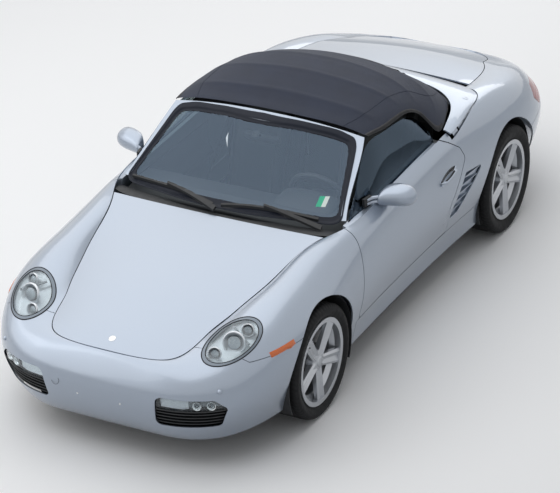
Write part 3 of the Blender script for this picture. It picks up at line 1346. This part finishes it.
# %% Swell the pads and lay their seams
for pad_name, (front, back, half_width, roll, node) in PADS.items():
    left = closed_pad(f"seat_{pad_name}_left", pad_grid(front, back, half_width, roll))
    swell(left)
    mirrored_mesh = left.data.copy()
    mirrored_mesh.transform(Matrix.Scale(-1, 4, (0, 1, 0)))
    mirrored_mesh.flip_normals()
    right = bpy.data.objects.new(f"seat_{pad_name}_right", mirrored_mesh)
    scene.collection.objects.link(right)
    for piece in (left, right):
        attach(piece, shell)
        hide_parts(node)
    pad_skin = BVHTree.FromObject(left, bpy.context.evaluated_depsgraph_get())
    middle_line = smooth_line(front, 60)
    towards = np.array([front[3][0] - back[3][0], front[3][1] - back[3][1]])
    towards /= np.linalg.norm(towards)
    out = Vector((towards[0], 0, towards[1]))
    lines = []
    for share in (-0.58, 0.58):
        lines.append([(x, SEAT_MIDDLE + share * half_width, z) for x, z in middle_line[3:-3]])
    for share in (0.25, 0.5, 0.75):
        x, z = middle_line[int(share * 59)]
        lines.append([(x, SEAT_MIDDLE + t * half_width, z) for t in np.linspace(-0.56, 0.56, 30)])
    for k, line in enumerate(lines):
        seam = []
        for point in line:
            place = pad_skin.ray_cast(Vector(point) + out * 0.15, -out, 0.3)[0]
            if place is not None:
                seam.append(place - out * 0.0006)
        if len(seam) > 4:
            for side_name, side in SIDES:
                name = f"seat_{pad_name}_seam_{side_name}_{k}"
                tube(name, [flip(p, side) for p in seam], 0.0018, leather, shell)
print("seats done")

# %% [markdown]
# ## Door mirrors and handles
#
# The mirror's shell is a drop shape, rounded in front and cut flat at the back for the glass, on a
# foot of two thin arms. It is a loft of D-shaped sections from its inner end to its tip. The door
# handle is a painted bar across an almond-shaped hollow.

# %% Mirrors
MIRROR_SECTIONS = [  # y, back x, depth, middle z, half height
    (0.756, 0.345, 0.042, 0.881, 0.022),
    (0.770, 0.326, 0.072, 0.887, 0.043),
    (0.795, 0.304, 0.090, 0.894, 0.056),
    (0.840, 0.288, 0.096, 0.899, 0.062),
    (0.880, 0.280, 0.094, 0.901, 0.062),
    (0.915, 0.276, 0.082, 0.900, 0.055),
    (0.938, 0.276, 0.064, 0.899, 0.043),
    (0.952, 0.278, 0.041, 0.897, 0.026),
    (0.9585, 0.282, 0.014, 0.895, 0.009),
]
mirror_rows = smooth_line(MIRROR_SECTIONS, 44)
mirror_turns = [math.pi * k / 28 - math.pi / 2 for k in range(29)]
FLAT_SHARES = np.linspace(0.9, -0.9, 9)
GLASS_SHARES, GLASS_STEPS = (0.02, 0.5, 0.9, 1.0), 56
GLASS_AT, GLASS_HALF = (0.866, 0.899), (0.076, 0.050)
for side_name, side in SIDES:
    body = f"door_{side_name}"
    shell_points = []
    for y, back, depth, middle, half in mirror_rows:
        for t in mirror_turns:
            x = back + depth * max(math.cos(t), 0.0) ** 0.75
            shell_points.append((x, side * y, middle + half * math.sin(t)))
        for share in FLAT_SHARES:
            shell_points.append((back - 0.002, side * y, middle + half * 0.97 * share))
    columns = len(mirror_turns) + len(FLAT_SHARES)
    faces = grid_faces(len(mirror_rows), columns, closed=True)
    faces += [tuple(range(columns))[::-1], tuple(range(len(shell_points) - columns, len(shell_points)))]
    housing = add_mesh(f"mirror_shell_{side_name}", shell_points, faces, paint, body)
    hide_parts(f"mirror_{side_name}")
    glass_rows = []
    for share in GLASS_SHARES:
        for t in full_turn(GLASS_STEPS):
            y = GLASS_AT[0] + GLASS_HALF[0] * share * math.cos(t)
            z = GLASS_AT[1] + GLASS_HALF[1] * share * math.sin(t)
            back = float(np.interp(y, mirror_rows[:, 0], mirror_rows[:, 1]))
            glass_rows.append((back - 0.0035 + 0.0015 * (share < 0.95), side * y, z))
    faces = grid_faces(len(GLASS_SHARES), GLASS_STEPS, closed=True)
    add_mesh(f"mirror_glass_{side_name}", glass_rows, faces, reflector, body)
    rim = glass_rows[-GLASS_STEPS:]
    tube(f"mirror_rim_{side_name}", rim, 0.0025, black_plastic, body, closed=True)
    for k, (z, end_z, reach) in enumerate(((0.880, 0.880, 0.055), (0.905, 0.902, 0.03))):
        start = Vector((0.450, side * 0.728, z))
        middle = Vector((0.405, side * 0.746, z - 0.001))
        end = Vector((0.355 - reach * 0.2, side * (0.775 + reach), end_z))
        line = [tuple(p) for p in smooth_line([start, middle, end], 14)]
        tube(f"mirror_arm_{side_name}_{k}", line, 0.0105, paint, body)
    front, rear = (0.470, side * 0.722, 0.893), (0.412, side * 0.733, 0.895)
    bar(f"mirror_foot_{side_name}", front, rear, 0.016, 0.050, black_plastic, body)
print("mirror shell faces", len(housing.data.polygons))

# %% Door handles
HANDLE_X, HANDLE_Z, HANDLE_TILT = -0.362, 0.722, math.radians(-8)
HANDLE_LONG, HANDLE_HIGH = 0.103, 0.022  # half its length and height
SMOOTH_Z = HANDLE_Z + 0.035  # the door's skin is smooth here, above the CAD handle
HOLLOW_SHARES, HOLLOW_STEPS = (0.03, 0.5, 0.8, 1.0), 60
GRIP_ROWS, GRIP_STEPS = 30, 14


def door_point(side, x, z, skin):
    """The place where a door's skin is seen from its own side at (x, z)."""
    return skin.ray_cast(Vector((x, side * 1.3, z)), Vector((0, -side, 0)))[0]


def handle_point(side, skin, long, high, lift):
    """A point on the door's skin at shares of the handle's half length and height."""
    a, b = long * HANDLE_LONG, high * HANDLE_HIGH
    x = HANDLE_X + a * math.cos(HANDLE_TILT) - b * math.sin(HANDLE_TILT)
    z = HANDLE_Z + a * math.sin(HANDLE_TILT) + b * math.cos(HANDLE_TILT)
    near, edge = door_point(side, x, z, skin), door_point(side, x, SMOOTH_Z, skin)
    y = max(abs(near.y), abs(edge.y) - 0.004) + lift
    return Vector((x, side * y, z))


for side_name, side in SIDES:
    body, skin = f"door_{side_name}", skin_of(f"door_{side_name}", f"door_handle_{side_name}")
    rings = []
    for share in HOLLOW_SHARES:
        for t in full_turn(HOLLOW_STEPS):
            high = share * math.sin(t) * (1 - abs(math.cos(t)) ** 3 * 0.4)
            rings.append(handle_point(side, skin, share * math.cos(t), high, 0.0012))
    faces = grid_faces(len(HOLLOW_SHARES), HOLLOW_STEPS, closed=True)
    add_mesh(f"handle_hollow_{side_name}", rings, faces, gloss_plastic, body)
    tube(f"handle_rim_{side_name}", rings[-HOLLOW_STEPS:], 0.0022, paint, body, closed=True)
    grip = []
    for s in np.linspace(-0.96, 0.96, GRIP_ROWS):
        swell_out = 0.010 * (1 - s**4)
        thick = 0.30 * (1 - 0.75 * abs(s) ** 5)
        middle_line = -0.62 * (1 - s * s) - 0.05
        for t in full_turn(GRIP_STEPS):
            high, lift = middle_line + thick * math.sin(t), 0.002 + swell_out + 0.0045 * math.cos(t)
            grip.append(handle_point(side, skin, s, high, lift))
    faces = grid_faces(GRIP_ROWS, GRIP_STEPS, closed=True)
    add_mesh(f"handle_grip_{side_name}", grip, faces, paint, body)
print("handle grip points", len(grip))

# %% [markdown]
# ## Liners
#
# The CAD's side intake is open right through, so a painted liner closes it behind the fins, with
# a dark backing. The door, the quarter and the sill also leave a narrow wedge between them at the
# door's lower rear corner, and a small painted panel closes it a little inside the skin.

# %% Side intake liners
INTAKE_CORNERS = [(-0.480, 0.430), (-0.771, 0.624), (-0.572, 0.648), (-0.420, 0.492), (-0.380, 0.427)]
INTAKE_FLOOR, INTAKE_SINK = 0.772, 0.006
corners = [Vector(c) for c in INTAKE_CORNERS]
intake_middle = sum(corners, Vector((0, 0))) / len(corners)
outline = []
for a, b in zip(corners, corners[1:] + corners[:1]):
    outline += [a.lerp(b, t) for t in np.linspace(0, 0.9, 10)]
quarter_skin = skin_of("rear_quarters")
for side_name, side in SIDES:
    liner = []
    for share, floor in ((1.0, False), (1.0, True), (0.5, True), (0.02, True)):
        for corner in outline:
            x, z = intake_middle.lerp(corner, share)
            rim = quarter_skin.find_nearest(Vector((x, side * 0.87, z)))[0]
            y = INTAKE_FLOOR if floor else abs(rim.y) - INTAKE_SINK
            liner.append((x, side * y, z))
    faces = grid_faces(4, len(outline), closed=True)
    add_mesh(f"intake_liner_{side_name}", liner, faces, paint, shell, smooth=False)
    backing = []
    for share in (1.12, 0.5, 0.02):
        for corner in outline:
            x, z = intake_middle.lerp(corner, share)
            backing.append((x, side * (INTAKE_FLOOR - 0.004), z))
    faces = grid_faces(3, len(outline), closed=True)
    add_mesh(f"intake_backing_{side_name}", backing, faces, floor_coat, shell, smooth=False)
print("intake liners done")

# %% Panels behind the doors' lower corners
CORNER_X, CORNER_Z, DOOR_GAP = -0.378, (0.345, 0.500), 0.004
for side_name, side in SIDES:
    door_skin = skin_of(f"door_{side_name}")
    patch = []
    for z in np.linspace(*CORNER_Z, 24):
        rear = door_point(side, CORNER_X, z, quarter_skin)
        if rear is None:
            rear = quarter_skin.find_nearest(Vector((CORNER_X, side * 0.86, z)))[0]
        for x in np.arange(CORNER_X, -0.22, 0.001):
            front = door_point(side, x, z, door_skin)
            if front is not None and abs(front.y) > abs(rear.y) - 0.03:
                break
        if front is None:
            front = Vector((-0.28, rear.y, z))
        edge_x = max(front.x - DOOR_GAP, CORNER_X + 0.001)
        slope = (abs(front.y) - abs(rear.y)) / max(front.x - CORNER_X, 0.001)
        for share in np.linspace(0, 1, 8):
            x = CORNER_X + (edge_x - CORNER_X) * share
            y = abs(rear.y) + slope * (x - CORNER_X)
            patch.append((x, side * (y - 0.0008), z))
    add_mesh(f"door_corner_panel_{side_name}", patch, grid_faces(24, 8), paint, shell)
print("corner panels done")

# %% [markdown]
# ## Raised lid and gutter
#
# The trunk lid has a raised middle that widens towards the tail, and a slim brake lamp sits in
# its front edge. It is a thin second skin over the lid, feathered into it all round. A real body
# has a painted gutter under the gaps round its lids. Here it is a plain surface 32 mm under a
# smooth one fitted to the panels, in every cell where a ray from above meets no panel.

# %% Lid plateau
lid_skin = skin_of("trunk_lid")
LID_FRONT_X, LID_REAR_X, RAISE = -1.13, -1.66, 0.010
PLATEAU_ROWS, PLATEAU_COLUMNS = 46, 41
SIDE_RAMP, FRONT_RAMP, REAR_RAMP = 0.035, 0.02, 0.55  # two lengths, and a share of the length
LAMP_X, LAMP_HALF_WIDE, LAMP_STEPS = -1.152, 0.13, 14
LAMP_ROWS = ((0.012, 0.0095), (0.008, 0.0125), (-0.004, 0.0128), (-0.008, 0.0095))
plateau = []
for r in range(PLATEAU_ROWS):
    x = LID_FRONT_X + (LID_REAR_X - LID_FRONT_X) * r / (PLATEAU_ROWS - 1)
    back = r / (PLATEAU_ROWS - 1)
    half = 0.20 + 0.05 * back
    for c in range(PLATEAU_COLUMNS):
        s = 2 * c / (PLATEAU_COLUMNS - 1) - 1
        place = under(lid_skin, x, s * half)[0]
        front_edge, rear_edge = back * 0.53 / FRONT_RAMP, (1 - back) / REAR_RAMP
        edge = min((1 - abs(s)) * half / SIDE_RAMP, front_edge, rear_edge, 1.0)
        height = RAISE * (edge * edge * (3 - 2 * edge)) - 0.0006
        plateau.append(place + Vector((0, 0, height)) if place is not None else None)
if all(plateau):
    faces = grid_faces(PLATEAU_ROWS, PLATEAU_COLUMNS)
    add_mesh("lid_plateau", plateau, faces, paint, "trunk_lid")
    across = np.linspace(-LAMP_HALF_WIDE, LAMP_HALF_WIDE, LAMP_STEPS)
    lamp_at = [under(lid_skin, LAMP_X, y)[0] for y in across]
    lamp_rows = [p + Vector((dx, 0, dz)) for dx, dz in LAMP_ROWS for p in lamp_at]
    faces = grid_faces(len(LAMP_ROWS), LAMP_STEPS)
    add_mesh("brake_lamp", lamp_rows, faces, red_lens, "trunk_lid")
print("plateau points", len(plateau))

# %% Gutter under the panel gaps
GUTTER_X, GUTTER_Y, GUTTER_CELL, GUTTER_DEPTH = (-1.25, -0.56), 0.80, 0.010, 0.032
CELL_CORNERS = ((0, 0), (0, 1), (1, 1), (1, 0))
deck_skin = skin_of("top_cover", "trunk_lid", "rear_quarters")
above_skin = skin_of("soft_top", "rear_window")
down = Vector((0, 0, -1))
columns = np.arange(-GUTTER_Y, GUTTER_Y + 0.001, GUTTER_CELL)
rows = np.arange(GUTTER_X[0], GUTTER_X[1], GUTTER_CELL)
samples, open_cells = [], np.zeros((len(rows), len(columns)), dtype=bool)
roofed = open_cells.copy()
for r, x in enumerate(rows):
    for c, y in enumerate(columns):
        roofed[r, c] = under(above_skin, x, y)[0] is not None
        place, normal = deck_skin.ray_cast(Vector((x, y, 2)), down, 1.3)[:2]
        if place is not None and normal.z > 0.4 and place.z > 0.75:
            samples.append((y, x, place.z))
        elif not roofed[r, c]:
            open_cells[r, c] = True
deck_z, worst = fit_sheet(samples, 4, 5)
wide, covered = open_cells.copy(), roofed.copy()
for dr in (-2, -1, 0, 1, 2):
    for dc in (-2, -1, 0, 1, 2):
        wide |= np.roll(open_cells, (dr, dc), axis=(0, 1))
        covered |= np.roll(roofed, (dr, dc), axis=(0, 1))
wide &= ~covered
gutter, cells = [], []
for r, c in np.argwhere(wide):
    cells.append(tuple(range(len(gutter), len(gutter) + 4)))
    for dx, dy in CELL_CORNERS:
        x, y = rows[r] + dx * GUTTER_CELL, columns[c] + dy * GUTTER_CELL
        gutter.append((x, y, deck_z(y, x) - GUTTER_DEPTH))
add_mesh("panel_gap_gutter", gutter, cells, paint, shell, smooth=False)
print("gutter", len(cells), "cells, fit worst", round(worst * 1000, 1), "mm")

# %% Round caps on the roof cover
CAP_RINGS = [(0.0002, 0.0006), (0.015, 0.0006), (0.0165, 0.0), (0.0175, 0.0006), (0.0185, -0.0002)]
cover_skin = skin_of("top_cover")
for side_name, side in SIDES:
    place, normal = under(cover_skin, -0.93, side * 0.70)
    if place is not None:
        spun(f"cover_cap_{side_name}", CAP_RINGS, place, normal, paint, "top_cover", steps=32)
print("cover cap", round(2000 * CAP_RINGS[-1][0]), "mm across")

# %% [markdown]
# ## Door trim
#
# The door's inner face is covered by a moulded card with a pocket and an arm rest. Through the
# side glass it shows as a dark surface, so a thin panel stands just inside the door's inner wall.

# %% Door cards
for side_name, side in SIDES:
    body, inner = f"door_{side_name}", skin_of(f"door_{side_name}")
    card = []
    for z in np.linspace(0.36, 0.80, 20):
        for x in np.linspace(-0.30, 0.56, 30):
            place = inner.ray_cast(Vector((x, side * 0.3, z)), Vector((0, side, 0)))[0]
            y = abs(place.y) if place is not None and abs(place.y) > 0.6 else 0.725
            rest = 0.030 * math.exp(-(((z - 0.60) / 0.035) ** 2)) if x < 0.42 else 0.0
            card.append((x, side * (y - 0.003 - rest), z))
    add_mesh(f"door_card_{side_name}", card, grid_faces(20, 30), dash_trim, body)
print("door cards done")

# %% [markdown]
# ## Floor, light and camera
#
# Silver paint shows what stands around it, so the studio is a pale room: a bright overhead panel,
# softer ones at the front right and behind, and a pale world. The camera looks down on the left
# front corner from far away with a long lens.

# %% Floor and world
AIR_LIGHT = 0.42  # the world's strength as light; it shows, and is reflected, as plain white
scene.view_settings.view_transform = "Standard"

floor_material = new_material("pale_studio_floor", "#F7F7F7", 0.0, 0.9)[0]
bpy.ops.mesh.primitive_plane_add(size=60, location=(0, 0, 0))
studio_floor = bpy.context.object
studio_floor.name = "studio_floor"
studio_floor.data.materials.append(floor_material)

world = bpy.data.worlds.new("studio_air")
scene.world = world
world.use_nodes = True
tree = world.node_tree
air = tree.nodes["Background"]
air.inputs["Color"].default_value = linear("#EDF0F4")
air.inputs["Strength"].default_value = AIR_LIGHT
ray = add_node(tree, "ShaderNodeLightPath")
backdrop = add_node(tree, "ShaderNodeBackground", {"Color": (1, 1, 1, 1), "Strength": 1.0})
shown = ray.outputs["Is Camera Ray"]
for kind in ("Is Glossy Ray", "Is Transmission Ray"):
    either = {0: shown, 1: ray.outputs[kind]}
    shown = add_node(tree, "ShaderNodeMath", either, operation="MAXIMUM").outputs[0]
shares = {0: shown, 1: air.outputs[0], 2: backdrop.outputs[0]}
seen = add_node(tree, "ShaderNodeMixShader", shares)
tree.links.new(seen.outputs[0], tree.nodes["World Output"].inputs["Surface"])
print("world strength", AIR_LIGHT)


# %% Lamps
def softbox(name, place, target, size, power):
    """A square area lamp of that size and power, aimed at a target."""
    lamp = bpy.data.lights.new(name, "AREA")
    lamp.shape = "RECTANGLE"
    lamp.size, lamp.size_y = size
    lamp.energy = power
    holder = bpy.data.objects.new(name, lamp)
    scene.collection.objects.link(holder)
    holder.location = place
    holder.rotation_euler = (Vector(target) - Vector(place)).to_track_quat("-Z", "Y").to_euler()


softbox("overhead_panel", (0.0, -1.5, 6.5), (0, 0, 0.6), (12, 10), 360)
softbox("front_right_panel", (5, -6, 4.5), (0.5, 0, 0.6), (9, 6), 150)
softbox("rear_panel", (-7, -1, 4), (0, 0, 0.6), (4, 3), 60)
print("lamps", len(bpy.data.lights))

# %% Camera
CAMERA_TURN, CAMERA_RISE = math.radians(118.668), math.radians(27.719)
CAMERA_ROLL = math.radians(-1.764)
CAMERA_DISTANCE = 15.070
CAMERA_TARGET = Vector((0.6252, 0.2725, 0.5999))
FOCAL_PX, IMAGE_WIDTH = 2698.2, 560
level = math.cos(CAMERA_RISE)
towards_camera = Vector(
    (math.sin(CAMERA_TURN) * level, -math.cos(CAMERA_TURN) * level, math.sin(CAMERA_RISE))
)
right = Vector((0, 0, 1)).cross(towards_camera).normalized()
up = towards_camera.cross(right)
rolled_right = right * math.cos(CAMERA_ROLL) + up * math.sin(CAMERA_ROLL)
rolled_up = up * math.cos(CAMERA_ROLL) - right * math.sin(CAMERA_ROLL)
lens = bpy.data.cameras.new("studio_camera")
lens.sensor_width = 36.0
lens.lens = FOCAL_PX / IMAGE_WIDTH * lens.sensor_width
lens.clip_end = 200
camera = bpy.data.objects.new("studio_camera", lens)
scene.collection.objects.link(camera)
axes = Matrix((rolled_right, rolled_up, towards_camera)).transposed()
place = Matrix.Translation(CAMERA_TARGET + towards_camera * CAMERA_DISTANCE)
camera.matrix_world = place @ axes.to_4x4()
scene.camera = camera
print("camera lens", round(lens.lens, 1), "mm")

# %% Finish
bpy.context.view_layer.update()
